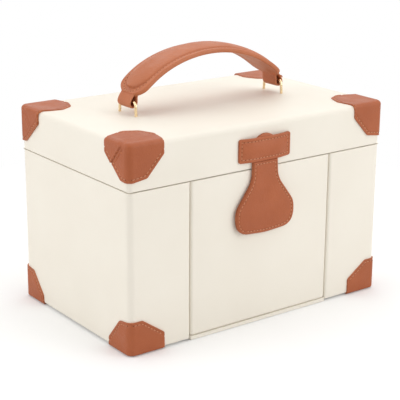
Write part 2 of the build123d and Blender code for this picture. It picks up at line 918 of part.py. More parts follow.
def is_outer_arc(edge):
    """True for the arcs and straights along the pad's upper side."""
    runs_along = abs((edge @ 0).X - (edge @ 1).X) > 2 * pad_rise
    return runs_along and rise_of(edge @ 0.5) > half_strap + pad_rise / 2


with BuildPart() as handle_pad:
    add(arch_band(half_strap, half_strap + pad_rise, pad_half).part)
    sides = handle_pad.faces().filter_by(Axis.Y).edges()
    chamfer(sides.filter_by(is_outer_arc), length=pad_bevel)
    outline = plan_outline(pad_plan, pad_plan_rounds, plan_low_z)
    add(outline.part, mode=Mode.INTERSECT)
handle_pad.part.label = "handle_pad"
export_step(handle_pad.part, "parts/handle_pad.step")

# Hinges: two leaves rolled into knuckles that share one pin
knuckle_radius = 2.3
pin_radius = 0.9
pin_play = 0.2
leaf_thickness = 1.0
leaf_width = 13.0
knuckle_root = 0.4
hinge_standoff = 2.6
knuckle_gap = 0.3
hinge_y = half_depth + hinge_standoff
lid_hinge_z = seam_height - 0.4
lid_hinge_inset = 88.0
lid_hinge_x = half_width - lid_hinge_inset
lid_hinge_length = 36.0
lid_knuckles = 3
wing_hinge_x = (wing_inner + core_half) / 2
wing_hinge_foot = 30.0
wing_hinge_length = 84.0
wing_knuckles = 3


def hinge_leaf(start, along, leaf_way, length, knuckles, mine, pinned):
    """One leaf: a plate lying on the back face and every second knuckle of the roll."""
    span = length / knuckles
    back = (0, 1, 0)
    with BuildPart() as leaf:
        plate_low = knuckle_radius + knuckle_gap
        root_reach = plate_low + knuckle_root
        plate_plane = Plane(origin=start, x_dir=back, z_dir=along)
        way = plate_plane.to_local_coords(Vector(*start) + Vector(*leaf_way)).Y
        plate_y = -hinge_standoff + leaf_thickness / 2
        with BuildSketch(plate_plane):
            with Locations((plate_y, way * (plate_low + leaf_width) / 2)):
                Rectangle(leaf_thickness, leaf_width - plate_low)
        extrude(amount=length)
        for n in range(mine, knuckles, 2):
            low = n * span + (knuckle_gap / 2 if n else 0)
            high = (n + 1) * span - (knuckle_gap / 2 if n < knuckles - 1 else 0)
            origin = Vector(*start) + Vector(*along) * low
            with BuildSketch(Plane(origin=origin, x_dir=back, z_dir=along)):
                Circle(knuckle_radius)
                root_y = -knuckle_radius + leaf_thickness / 2
                with Locations((root_y, way * root_reach / 2)):
                    Rectangle(leaf_thickness, root_reach)
            extrude(amount=high - low)
        with BuildSketch(plate_plane):
            Circle(pin_radius + (0 if pinned else pin_play))
        extrude(amount=length, mode=Mode.ADD if pinned else Mode.SUBTRACT)
    return leaf


for side, left_right in ((-1, "left"), (1, "right")):
    start = (side * lid_hinge_x - lid_hinge_length / 2, hinge_y, lid_hinge_z)
    fixed_leaf = hinge_leaf(
        start, (1, 0, 0), (0, 0, -1), lid_hinge_length, lid_knuckles, 0, True
    )
    fixed_leaf.part.label = f"{left_right}_lid_hinge_fixed_leaf"
    export_step(fixed_leaf.part, f"parts/{left_right}_lid_hinge_fixed_leaf.step")
    lid_leaf = hinge_leaf(
        start, (1, 0, 0), (0, 0, 1), lid_hinge_length, lid_knuckles, 1, False
    )
    lid_leaf.part.label = f"{left_right}_lid_hinge_lid_leaf"
    export_step(lid_leaf.part, f"parts/{left_right}_lid_hinge_lid_leaf.step")

    start = (side * wing_hinge_x, hinge_y, wing_hinge_foot)
    fixed_leaf = hinge_leaf(
        start, (0, 0, 1), (-side, 0, 0), wing_hinge_length, wing_knuckles, 0, True
    )
    fixed_leaf.part.label = f"{left_right}_wing_hinge_fixed_leaf"
    export_step(fixed_leaf.part, f"parts/{left_right}_wing_hinge_fixed_leaf.step")
    wing_leaf = hinge_leaf(
        start, (0, 0, 1), (side, 0, 0), wing_hinge_length, wing_knuckles, 1, False
    )
    wing_leaf.part.label = f"{left_right}_wing_hinge_wing_leaf"
    export_step(wing_leaf.part, f"parts/{left_right}_wing_hinge_wing_leaf.step")
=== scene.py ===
import math

import bmesh
import bpy
import numpy as np
from mathutils import Matrix, Vector
from mathutils.bvhtree import BVHTree


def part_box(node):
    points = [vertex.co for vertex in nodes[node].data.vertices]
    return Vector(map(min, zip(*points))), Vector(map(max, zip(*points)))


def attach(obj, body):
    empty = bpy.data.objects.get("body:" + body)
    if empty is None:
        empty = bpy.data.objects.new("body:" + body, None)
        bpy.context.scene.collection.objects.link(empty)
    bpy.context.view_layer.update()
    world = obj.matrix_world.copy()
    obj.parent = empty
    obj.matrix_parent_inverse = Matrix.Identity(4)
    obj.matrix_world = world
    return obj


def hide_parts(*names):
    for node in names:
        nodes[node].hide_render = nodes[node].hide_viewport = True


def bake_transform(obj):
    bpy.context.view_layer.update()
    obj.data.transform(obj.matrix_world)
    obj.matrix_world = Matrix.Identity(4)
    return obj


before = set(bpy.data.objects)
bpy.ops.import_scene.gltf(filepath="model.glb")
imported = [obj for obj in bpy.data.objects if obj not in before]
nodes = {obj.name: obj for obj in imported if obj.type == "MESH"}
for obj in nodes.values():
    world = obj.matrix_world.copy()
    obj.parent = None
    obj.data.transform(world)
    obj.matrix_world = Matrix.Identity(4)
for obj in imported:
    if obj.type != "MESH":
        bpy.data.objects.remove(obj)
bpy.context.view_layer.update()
scene = bpy.context.scene

# Boards of the case: fibreboard boxes covered in cream leatherette, turned in at the edges.
# The cloth-backed sheet is glued on smooth; its fine pressed grain only shows close up.
board_wall = 0.004
corner_soft = 0.0055
rim_soft = 0.0048
front_soft = 0.003
foot_soft = 0.0024
hidden_soft = 0.001
seam_soft = 0.0007
lid_crown = 0.0014


def finish(name, colour, roughness, metallic=0.0):
    """A new material with its main values, and its node tree to add detail to."""
    material = bpy.data.materials.new(name)
    material.use_nodes = True
    tree = material.node_tree
    shader = tree.nodes["Principled BSDF"]
    shader.inputs["Base Color"].default_value = (*colour, 1)
    shader.inputs["Roughness"].default_value = roughness
    shader.inputs["Metallic"].default_value = metallic
    return material, tree, shader


def place(tree):
    """The object's own coordinates, in metres."""
    return tree.nodes.new("ShaderNodeTexCoord").outputs["Object"]


def noise(tree, scale, detail=2.0, roughness=0.5):
    texture = tree.nodes.new("ShaderNodeTexNoise")
    texture.inputs["Scale"].default_value = scale
    texture.inputs["Detail"].default_value = detail
    texture.inputs["Roughness"].default_value = roughness
    tree.links.new(place(tree), texture.inputs["Vector"])
    return texture.outputs["Fac"]


def cells(tree, scale):
    """Soft-edged cells, like the pebbles of a grain."""
    texture = tree.nodes.new("ShaderNodeTexVoronoi")
    texture.feature = "SMOOTH_F1"
    texture.inputs["Scale"].default_value = scale
    tree.links.new(place(tree), texture.inputs["Vector"])
    return texture.outputs["Distance"]


def spread(tree, value, span, reach=(0.0, 1.0)):
    """A value's range stretched from one span to another."""
    node = tree.nodes.new("ShaderNodeMapRange")
    for socket, level in zip(("From Min", "From Max", "To Min", "To Max"), (*span, *reach)):
        node.inputs[socket].default_value = level
    tree.links.new(value, node.inputs["Value"])
    return node.outputs["Result"]


def mix(tree, factor, first, second):
    """A colour between two colours, each of them a value or a socket."""
    node = tree.nodes.new("ShaderNodeMix")
    node.data_type = "RGBA"
    tree.links.new(factor, node.inputs["Factor"])
    for colour, socket in ((first, node.inputs["A"]), (second, node.inputs["B"])):
        if isinstance(colour, tuple):
            socket.default_value = (*colour, 1)
        else:
            tree.links.new(colour, socket)
    return node.outputs["Result"]


def tint(tree, shader, texture, span, first, second, most=1.0):
    """Lets the colour drift from one to another as a texture rises through a span."""
    share = spread(tree, texture, span, (0.0, most))
    tree.links.new(mix(tree, share, first, second), shader.inputs["Base Color"])


def roughen(tree, shader, texture, span, reach):
    """Lets the roughness follow a texture."""
    tree.links.new(spread(tree, texture, span, reach), shader.inputs["Roughness"])


def relief(tree, shader, *layers):
    """Bumps on top of each other, each a height value with its depth in metres."""
    below = None
    for height, depth in layers:
        bump = tree.nodes.new("ShaderNodeBump")
        bump.inputs["Strength"].default_value = 1.0
        bump.inputs["Distance"].default_value = depth
        tree.links.new(height, bump.inputs["Height"])
        if below:
            tree.links.new(below, bump.inputs["Normal"])
        below = bump.outputs["Normal"]
    tree.links.new(below, shader.inputs["Normal"])


def dress(material, *names):
    """Gives CAD nodes a material."""
    for name in names:
        for held in nodes[name].material_slots:
            held.material = material


def apply(piece):
    """Replaces a piece's mesh by what its modifiers make of it."""
    bpy.context.view_layer.update()
    seen = piece.evaluated_get(bpy.context.evaluated_depsgraph_get())
    mesh = bpy.data.meshes.new_from_object(seen)
    piece.modifiers.clear()
    piece.data = mesh


def smooth(piece, angle):
    """Soft shading, with edges kept where faces turn sharply."""
    for face in piece.data.polygons:
        face.use_smooth = True
    piece.data.set_sharp_from_angle(angle=math.radians(angle))


def piece_from(name, body, material, rides):
    """A new object made from a bmesh, with its material, and its body if it has one."""
    mesh = bpy.data.meshes.new(name)
    body.to_mesh(mesh)
    body.free()
    piece = bpy.data.objects.new(name, mesh)
    scene.collection.objects.link(piece)
    piece.data.materials.append(material)
    if rides:
        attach(piece, rides)
    return piece


cream = (0.86, 0.81, 0.715)
cream_leatherette, tree, shader = finish("cream_leatherette", cream, 0.5)
tint(tree, shader, noise(tree, 14.0, 3.0), (0.35, 0.65), (0.84, 0.787, 0.69), cream)
roughen(tree, shader, noise(tree, 60.0), (0.3, 0.7), (0.46, 0.56))
shader.inputs["Specular IOR Level"].default_value = 0.32
relief(
    tree,
    shader,
    (noise(tree, 38.0), 0.00022),
    (cells(tree, 1500.0), 0.00006),
    (noise(tree, 2600.0), 0.00003),
)


def covered(name, body, low, high, round_of, widest, rides):
    """A board in leatherette, each outer edge rounded by what round_of says of its sides."""
    weights = body.edges.layers.float.new("bevel_weight_edge")
    for e in body.edges:
        sides = {
            n: end
            for n in range(3)
            for end, level in ((-1, low[n]), (1, high[n]))
            if all(abs(v.co[n] - level) < 1e-6 for v in e.verts)
        }
        if len(sides) == 2:
            e[weights] = round_of(sides) / widest
    piece = piece_from(name, body, cream_leatherette, rides)
    bevel = piece.modifiers.new("round", "BEVEL")
    bevel.limit_method = "WEIGHT"
    bevel.width = widest
    bevel.segments = 8
    bevel.use_clamp_overlap = False
    apply(piece)
    smooth(piece, 35)
    return piece


def open_box(name, low, high, mouth, cuts, round_of, rides):
    """A walled box with one open side, cut into a grid for its rounding."""
    low, high = Vector(low), Vector(high)
    axis, way = mouth
    wall = Vector((board_wall,) * 3)
    in_low, in_high = low + wall, high - wall
    if way < 0:
        in_low[axis] = low[axis]
    else:
        in_high[axis] = high[axis]
    body = bmesh.new()
    outer, inner = [
        {
            (i, j, k): body.verts.new((ends[i].x, ends[j].y, ends[k].z))
            for i in (0, 1)
            for j in (0, 1)
            for k in (0, 1)
        }
        for ends in ((low, high), (in_low, in_high))
    ]
    for n in range(3):
        for end in (0, 1):
            keys = []
            for p, q in ((0, 0), (1, 0), (1, 1), (0, 1)):
                key = [0, 0, 0]
                key[n], key[(n + 1) % 3], key[(n + 2) % 3] = end, p, q
                keys.append(tuple(key))
            if n == axis and end == (way > 0):
                for a, b in zip(keys, keys[1:] + keys[:1]):
                    body.faces.new((outer[a], outer[b], inner[b], inner[a]))
            else:
                body.faces.new([outer[key] for key in keys])
                body.faces.new([inner[key] for key in keys])
    for n in range(3):
        lined = [
            e
            for e in body.edges
            if abs((e.verts[0].co - e.verts[1].co).normalized()[n]) > 0.999
        ]
        if cuts[n]:
            bmesh.ops.subdivide_edges(body, edges=lined, cuts=cuts[n], use_grid_fill=True)
    bmesh.ops.recalc_face_normals(body, faces=body.faces)
    return covered(name, body, low, high, round_of, 0.008, rides)


def lid_rounds(sides):
    if 2 not in sides:
        return corner_soft
    return rim_soft if sides[2] > 0 else seam_soft


low, high = (Vector(c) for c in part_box("lid_shell"))
lid_cover = open_box("lid_cover", low, high, (2, -1), (24, 16, 0), lid_rounds, "lid")
flat_x, flat_y = high.x - rim_soft, high.y - rim_soft
for v in lid_cover.data.vertices:
    if v.co.z > high.z - 1e-6:
        v.co.z += lid_crown * (1 - (v.co.x / flat_x) ** 4) * (1 - (v.co.y / flat_y) ** 4)
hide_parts("lid_shell")


def wing_rounds(sides, outward):
    if 2 in sides:
        return seam_soft
    if sides[0] == outward:
        return corner_soft
    return front_soft if sides[1] < 0 else hidden_soft


for side, name in ((-1, "left_wing"), (1, "right_wing")):
    wing_cover = open_box(
        f"{name}_cover",
        *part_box(f"{name}_shell"),
        (0, -side),
        (6, 16, 10),
        lambda sides: wing_rounds(sides, side),
        name,
    )
    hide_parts(f"{name}_shell")


def flap_rounds(sides):
    if 2 in sides:
        return foot_soft if sides[2] < 0 else seam_soft
    return front_soft if sides[1] < 0 else hidden_soft


low, high = (Vector(c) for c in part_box("front_flap"))
body = bmesh.new()
bmesh.ops.create_cube(body, size=1)
bmesh.ops.scale(body, vec=high - low, verts=body.verts)
bmesh.ops.translate(body, vec=(high + low) / 2, verts=body.verts)
flap_cover = covered("flap_cover", body, low, high, flap_rounds, front_soft, "flap")
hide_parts("front_flap")

dress(cream_leatherette, "flap_hinge_strip", "base_board", "back_panel", "mirror_frame")
dress(cream_leatherette, "left_partition", "right_partition")

# Linings: the tray, shelves, drawers and the board in the lid are wrapped in short velvet.
# The pile is brushed down, so it has a soft sheen and slight lighter and darker strokes.
pile = (0.74, 0.66, 0.54)
cream_velvet, tree, shader = finish("cream_velvet", pile, 0.92)
strokes = noise(tree, 24.0, 4.0, 0.65)
tint(tree, shader, strokes, (0.38, 0.62), pile, (0.66, 0.575, 0.455))
shader.inputs["Sheen Weight"].default_value = 0.45
shader.inputs["Sheen Roughness"].default_value = 0.4
shader.inputs["Specular IOR Level"].default_value = 0.1
relief(tree, shader, (noise(tree, 3200.0, 3.0, 0.7), 0.00025))
dress(cream_velvet, "lower_shelf", "middle_shelf", "lid_lining")
dress(cream_velvet, "tray_floor", "tray_front", "tray_divider", "tray_cross_divider")
for level in ("upper", "lower"):
    dress(cream_velvet, f"{level}_drawer_box", f"{level}_drawer_divider")

# Ring cushion: foam rolls covered in velvet, lying side by side in the left of the tray.
# The ends of each roll are sewn shut and drawn in; rings are pushed between the rolls.
roll_count = 7
roll_gap = 0.001
roll_rings, roll_sides = 30, 26
roll_end = 0.2
pucker_count, pucker_depth = 9, 0.012


def quads(body, rows, closed=False):
    """Faces between rows of vertices; closed rows go right round."""
    count = len(rows[0])
    return [
        body.faces.new((a[n], a[(n + 1) % count], b[(n + 1) % count], b[n]))
        for a, b in zip(rows, rows[1:])
        for n in range(count if closed else count - 1)
    ]


def tube(body, loops):
    """Faces between closed loops of vertices and over both ends."""
    ends = [body.faces.new(list(reversed(loops[0]))), body.faces.new(loops[-1])]
    return quads(body, loops, closed=True) + ends


def join(whole, part):
    """Adds one bmesh to another."""
    held = bpy.data.meshes.new("part")
    part.to_mesh(held)
    part.free()
    whole.from_mesh(held)


def roll_mesh(length, width, height):
    """One stuffed roll along X: flat below, crowned above, drawn in at both ends."""
    body = bmesh.new()
    loops = []
    for n in range(roll_rings + 1):
        along = n / roll_rings
        full = max(1 - abs(2 * along - 1) ** 9, 0)
        pull = roll_end + (1 - roll_end) * full**0.45
        loop = []
        for m in range(roll_sides):
            turn = 2 * math.pi * m / roll_sides
            c, s = math.cos(turn), math.sin(turn)
            y = 0.5 * width * math.copysign(abs(c) ** 0.62, c) * (0.55 + 0.45 * pull)
            z = 0.5 * height * (1 + math.copysign(abs(s) ** 0.7, s) * pull)
            pucker = 1 + pucker_depth * math.sin(pucker_count * turn) * (1 - full)
            loop.append(body.verts.new(((along - 0.5) * length, y * pucker, z)))
        loops.append(loop)
    tube(body, loops)
    bmesh.ops.recalc_face_normals(body, faces=body.faces)
    return body


low, high = (Vector(c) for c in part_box("ring_cushion"))
roll_width = (high.y - low.y - (roll_count - 1) * roll_gap) / roll_count
rolls = bmesh.new()
for n in range(roll_count):
    roll = roll_mesh(high.x - low.x, roll_width, high.z - low.z)
    middle = low.y + (n + 0.5) * roll_width + n * roll_gap
    bmesh.ops.translate(roll, verts=roll.verts, vec=((low.x + high.x) / 2, middle, low.z))
    join(rolls, roll)
ring_rolls = piece_from("ring_rolls", rolls, cream_velvet, "carcass")
smooth(ring_rolls, 60)
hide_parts("ring_cushion")

# Necklace pockets: a band of satin gathered on elastic, sewn to the wall low in each wing.
# The elastic hem draws the cloth into upright folds, and the belly hangs out below it.
fold_count = 26
fold_depth = 0.0009
cloth_thick = 0.0008
hem_from, hem_folds = 0.86, 0.35
foot_folds = 0.35
pocket_columns, pocket_rows = 260, 26
pale = (0.77, 0.70, 0.59)
cream_satin, tree, shader = finish("cream_satin", pale, 0.42)
tint(tree, shader, noise(tree, 40.0), (0.3, 0.7), pale, (0.7, 0.62, 0.5))
shader.inputs["Sheen Weight"].default_value = 0.25
relief(tree, shader, (noise(tree, 1800.0), 0.00008))
for side, name in ((-1, "left"), (1, "right")):
    low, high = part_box(f"{name}_pocket")
    wall = low[0] if side < 0 else high[0]
    reach = high[0] - low[0] - 0.002
    half = (high[1] - low[1]) / 2
    rise = high[2] - low[2]
    body = bmesh.new()
    grid = []
    lengths = [0.0] * (pocket_rows + 1)
    for m in range(pocket_rows + 1):
        up = m / pocket_rows
        depth = fold_depth * (1 if up < hem_from else hem_folds)
        depth *= foot_folds + (1 - foot_folds) * up
        line = []
        for n in range(pocket_columns + 1):
            across = 2 * n / pocket_columns - 1
            bow = reach * (1 - across * across)
            wave = math.sin(math.pi * fold_count * (across + 1) / 2)
            out = bow + depth * wave * (1 - across**8)
            out = min(max(out, 0.0002), reach + 0.001)
            point = Vector((wall - side * out, half * across, low[2] + rise * up))
            if n:
                lengths[m] += (point - line[-1].co).length
            line.append(body.verts.new(point))
        grid.append(line)
    quads(body, grid)
    pocket = piece_from(
        f"{name}_pocket_satin", body, cream_satin, f"{name}_wing"
    )
    thick = pocket.modifiers.new("thick", "SOLIDIFY")
    thick.thickness = cloth_thick
    thick.offset = 0
    apply(pocket)
    smooth(pocket, 60)
    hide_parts(f"{name}_pocket")

# Fittings: hinges, drawer knobs and necklace hooks are stamped and turned, plated pale gold.
# The plating is bright, with faint polishing lines and duller patches where it is handled.


def plating(name, colour, dull):
    material, tree, shader = finish(name, colour, 0.24, 1.0)
    tint(tree, shader, noise(tree, 60.0), (0.3, 0.75), colour, dull, most=0.6)
    roughen(tree, shader, noise(tree, 420.0, 3.0), (0.3, 0.7), (0.17, 0.3))
    relief(tree, shader, (noise(tree, 2400.0), 0.00001))
    return material


pale_gold = plating("pale_gold", (0.86, 0.69, 0.43), (0.78, 0.6, 0.36))
dress(pale_gold, "upper_drawer_knob", "lower_drawer_knob", "left_hook_bar", "right_hook_bar")
for hinge in ("left_lid", "right_lid", "left_wing", "right_wing"):
    dress(pale_gold, f"{hinge}_hinge_fixed_leaf", f"{hinge}_hinge_{hinge.split('_')[1]}_leaf")

# Mirror: silvered float glass in a leatherette-wrapped frame, glued to the board in the lid.
# The steel disc on the drop front takes the magnet in the tongue, and is brushed.
glass, tree, shader = finish("mirror_glass", (0.92, 0.935, 0.94), 0.03, 1.0)
roughen(tree, shader, noise(tree, 9.0, 3.0), (0.35, 0.7), (0.015, 0.05))
dress(glass, "mirror")
dress(plating("catch_steel", (0.63, 0.61, 0.58), (0.55, 0.53, 0.5)), "catch_disc")

# Leather: thin tan cowhide with a satin finish, used for every cap, strap and the handle.
# It has a pebbled grain with pores, slightly darker in its hollows, and a painted highlight makes
# it paler at its sharp edges and folds.
# It is sewn with a waxed thread, whose stitches end in needle holes, each shown as a dark dot of
# painted shade.
stitch_pitch = 0.0034
stitch_length = 0.0024
stitch_radius = 0.00038
hole_radius = 0.00046


def cowhide(name, tan, dark, pale):
    material, tree, shader = finish(name, tan, 0.48)
    cloud = spread(tree, noise(tree, 26.0, 4.0, 0.6), (0.32, 0.68))
    pebble = spread(tree, cells(tree, 900.0), (0.0, 0.6))
    # Painted highlight: the colour turns paler where the surface bends sharply, at edges and
    # folds.
    painted_edge_highlight = tree.nodes.new("ShaderNodeNewGeometry").outputs["Pointiness"]
    base = mix(tree, cloud, dark, tan)
    grain = mix(tree, spread(tree, pebble, (0.0, 1.0), (0.0, 0.35)), base, dark)
    tint(tree, shader, painted_edge_highlight, (0.53, 0.66), grain, pale, most=0.55)
    roughen(tree, shader, noise(tree, 90.0, 3.0), (0.3, 0.7), (0.4, 0.56))
    shader.inputs["Specular IOR Level"].default_value = 0.34
    relief(
        tree,
        shader,
        (noise(tree, 70.0, 3.0), 0.0005),
        (cells(tree, 820.0), 0.00022),
        (noise(tree, 2600.0, 3.0, 0.65), 0.00006),
    )
    return material


# The third colour is the painted highlight laid on the leather's edges and folds.
tan_leather = cowhide(
    "tan_leather", (0.432, 0.117, 0.041), (0.362, 0.092, 0.030), (0.6, 0.22, 0.10)
)
pale = (0.62, 0.29, 0.155)
thread, tree, shader = finish("thread", pale, 0.6)
tint(tree, shader, noise(tree, 1500.0), (0.3, 0.7), pale, (0.52, 0.22, 0.11))
relief(tree, shader, (noise(tree, 3000.0, 1.0), 0.00008))
# The dark colour of the needle-hole dots is painted shade.
shade = (0.13, 0.038, 0.016)
needle_hole_shade, tree, shader = finish("needle_hole_shade", shade, 0.9)
tint(tree, shader, noise(tree, 900.0), (0.3, 0.7), shade, (0.2, 0.062, 0.028))


def surface_of(piece):
    """A piece's mesh, ready to be hit by rays."""
    mesh = piece.data
    return BVHTree.FromPolygons(
        [v.co.copy() for v in mesh.vertices], [tuple(p.vertices) for p in mesh.polygons]
    )


def along(path, pitch):
    """Points evenly spaced along a path of points, each with its direction."""
    spans = [(b - a).length for a, b in zip(path, path[1:])]
    total = sum(spans)
    count = max(int(total / pitch), 1)
    out = []
    for n in range(count):
        want = (n + 0.5) * total / count
        for a, b, span in zip(path, path[1:], spans):
            if want <= span or (a, b) == (path[-2], path[-1]):
                out.append((a.lerp(b, want / span if span else 0), (b - a).normalized()))
                break
            want -= span
    return out


def bead(body, spot, turn, size, fineness):
    """An egg-shaped ball on a surface: a stitch, or the flat dark dot of painted shade over a
    needle hole.
    """
    grown = bmesh.ops.create_icosphere(body, subdivisions=fineness, radius=1.0)
    matrix = Matrix.Translation(spot) @ turn @ Matrix.Diagonal((*size, 1))
    bmesh.ops.transform(body, matrix=matrix, verts=grown["verts"])
    return grown["verts"]


def sew(name, seams, rides):
    """Stitches laid along paths on leather: each seam is a surface, a path and a ray way."""
    body = bmesh.new()
    stitch = (stitch_length / 2, stitch_radius, stitch_radius * 0.8)
    hole_shade_size = (hole_radius, hole_radius, hole_radius * 0.3)
    for tree, path, way in seams:
        toward = Vector(way)
        for point, heading in along(path, stitch_pitch):
            hit, normal, _, _ = tree.ray_cast(point - toward * 0.02, toward, 0.05)
            if hit is None:
                continue
            if normal.dot(toward) > 0:
                normal = -normal
            run = (heading - normal * heading.dot(normal)).normalized()
            turn = Matrix((run, normal.cross(run), normal)).transposed().to_4x4()
            bead(body, hit + normal * stitch_radius * 0.1, turn, stitch, 2)
            # Each stitch is followed by a flat dark dot of painted shade over its needle hole.
            for v in bead(body, hit + run * stitch_pitch / 2, turn, hole_shade_size, 1):
                for face in v.link_faces:
                    face.material_index = 1
    piece = piece_from(name, body, thread, rides)
    piece.data.materials.append(needle_hole_shade)
    smooth(piece, 180)
    return piece


# Corner caps: each is one leather skin folded over three faces of a corner and glued down.
# Its edge is machine-stitched a few millimetres in, and its slack is pleated on the flank.
# All four caps of the lid are cut to one pattern, and all four of the feet to another.
cap_proud = 0.0013
cap_skin = 0.0022
cap_edge_round = 0.00045
cap_grid = 0.00046
cap_bend, cap_bend_steps = 0.0075, 14
past = -0.004
seam_inset = 0.0026
seam_start = 0.0022
seam_off = -0.002
groove_deep, groove_wide = 0.00050, 0.00065
least_round = 0.0005
cap_faces = {"front": (0, 2, 1), "flank": (1, 2, 0), "top": (0, 1, 2)}
cap_rounds = {
    "front": (0.003, 0.003, 0.002),
    "flank": (0.003, 0.003, 0.002),
    "top": (0.007, 0.007, 0.007),
}
# The cut edge of each face runs from past one fold of the leather to past the next.
cap_patterns = {
    "lid": {
        "reach": (0.040, 0.042, 0.033),
        "rim": 0.0038,
        "upright": 0.0062,
        "front": [
            (0.0338, past), (0.0338, 0.0110), (0.0172, 0.0291), (0.003, 0.0311), (past, 0.0312)
        ],
        "flank": [
            (0.0320, past), (0.0320, 0.0110), (0.0102, 0.0304), (0.003, 0.0311), (past, 0.0312)
        ],
        "top": [
            (0.0325, past), (0.0378, 0.0190), (0.0325, 0.0330), (0.0200, 0.0395), (past, 0.0303)
        ],
    },
    "foot": {
        "reach": (0.036, 0.034, 0.031),
        "rim": 0.0014,
        "upright": 0.0062,
        "front": [
            (0.0338, past), (0.0336, 0.0135), (0.0120, 0.0285), (0.003, 0.0283), (past, 0.0283)
        ],
        "flank": [
            (0.0318, past), (0.0310, 0.0070), (0.0145, 0.0266), (0.003, 0.0281), (past, 0.0283)
        ],
        "top": [
            (0.0338, past), (0.0338, 0.0180), (0.0260, 0.0250), (0.0180, 0.0318), (past, 0.0318)
        ],
    },
}


def corner_curve(a, corner, b, steps):
    """Points on a curve from a to b that rounds off the corner between them."""
    out = []
    for step in range(steps + 1):
        share = step / steps
        out.append(a.lerp(corner, share).lerp(corner.lerp(b, share), share))
    return out


def cap_line(pattern, leaf, amount):
    """The cut edge of one face of a cap, moved inward, with round corners, as close points."""
    points = [Vector(p) for p in pattern[leaf]]
    spans = [(b - a).normalized() for a, b in zip(points, points[1:])]
    squares = [Vector((-s.y, s.x)) for s in spans]
    moved = [points[0] + squares[0] * amount]
    for n in range(1, len(points) - 1):
        half = (squares[n - 1] + squares[n]).normalized()
        moved.append(points[n] + half * (amount / half.dot(squares[n])))
    moved.append(points[-1] + squares[-1] * amount)
    out = [moved[0]]
    for n, radius in enumerate(cap_rounds[leaf], 1):
        turn = spans[n - 1].angle_signed(spans[n])
        radius = max(radius + (amount if turn > 0 else -amount), least_round)
        cut = radius * abs(math.tan(turn / 2))
        out += corner_curve(moved[n] - spans[n - 1] * cut, moved[n], moved[n] + spans[n] * cut, 6)
    out.append(moved[-1])
    return out


def bent(point, rim, upright):
    """A point of a sharp corner drawn in to the soft corner that the leather takes."""
    edge = rim - cap_proud
    centre = edge + upright - rim
    plan = Vector((point.x, point.y))
    core = Vector((max(plan.x, centre), max(plan.y, centre)))
    out = plan - core
    if out.length > upright - rim:
        plan = core + out.normalized() * (upright - rim)
    inside = Vector((plan.x, plan.y, max(point.z, edge)))
    return inside + (point - inside).normalized() * rim


def distances(spots, line):
    """How far each spot lies from a line of points, all in one plane."""
    best = np.full(len(spots), 1.0)
    for a, b in zip(line, line[1:]):
        a, b = np.array(a), np.array(b)
        way = b - a
        share = np.clip((spots - a) @ way / max(way @ way, 1e-12), 0, 1)
        gap = spots - (a + share[:, None] * way)
        best = np.minimum(best, np.hypot(gap[:, 0], gap[:, 1]))
    return best


def ripple(across, height, middle, width):
    """The height of a soft ridge, or of a groove where the height is below 0."""
    return height * np.exp(-(((across - middle) / width) ** 2))


def slice_at(body, spot, way, clear=False):
    """Cuts a mesh by a plane, and clears what lies past it if asked."""
    bmesh.ops.bisect_plane(
        body,
        geom=body.verts[:] + body.edges[:] + body.faces[:],
        plane_co=spot,
        plane_no=way,
        clear_outer=clear,
    )


# The slack of a lid cap is laid in a fold on the flank, from the corner down to the edge.
# The upper layer steps down at the fold, with a crease and a ridge running beside it.
fold_start = np.array((0.0085, 0.0015))
fold_end = np.array((0.0243, 0.0198))
fold_step, fold_soft = 0.00075, 0.00018
fold_run, fold_begin_soft = 0.026, 0.0005


def pleat(spots, normals):
    """The height of the folded slack at each spot of a lid cap."""
    way = (fold_end - fold_start) / np.linalg.norm(fold_end - fold_start)
    rel = spots[:, [1, 2]] - fold_start
    run = rel @ way
    across = rel[:, 1] * way[0] - rel[:, 0] * way[1]
    begin = 1 / (1 + np.exp(-(run - fold_begin_soft) / fold_begin_soft))
    upper = fold_step / (1 + np.exp(across / fold_soft))
    lip = ripple(across, 0.00025, -0.0007, 0.0006)
    crease = ripple(across, -0.00075, 0.0004, 0.00042)
    ridge = ripple(across, 0.00050, 0.0021, 0.0009)
    second = ripple(across, -0.00060, 0.0038, 0.00042)
    fade = np.clip(1.15 - run / fold_run, 0, 1)
    facing = np.clip((-normals[:, 0] - 0.55) / 0.4, 0, 1)
    return facing * begin * (upper + lip + crease + (ridge + second) * fade)


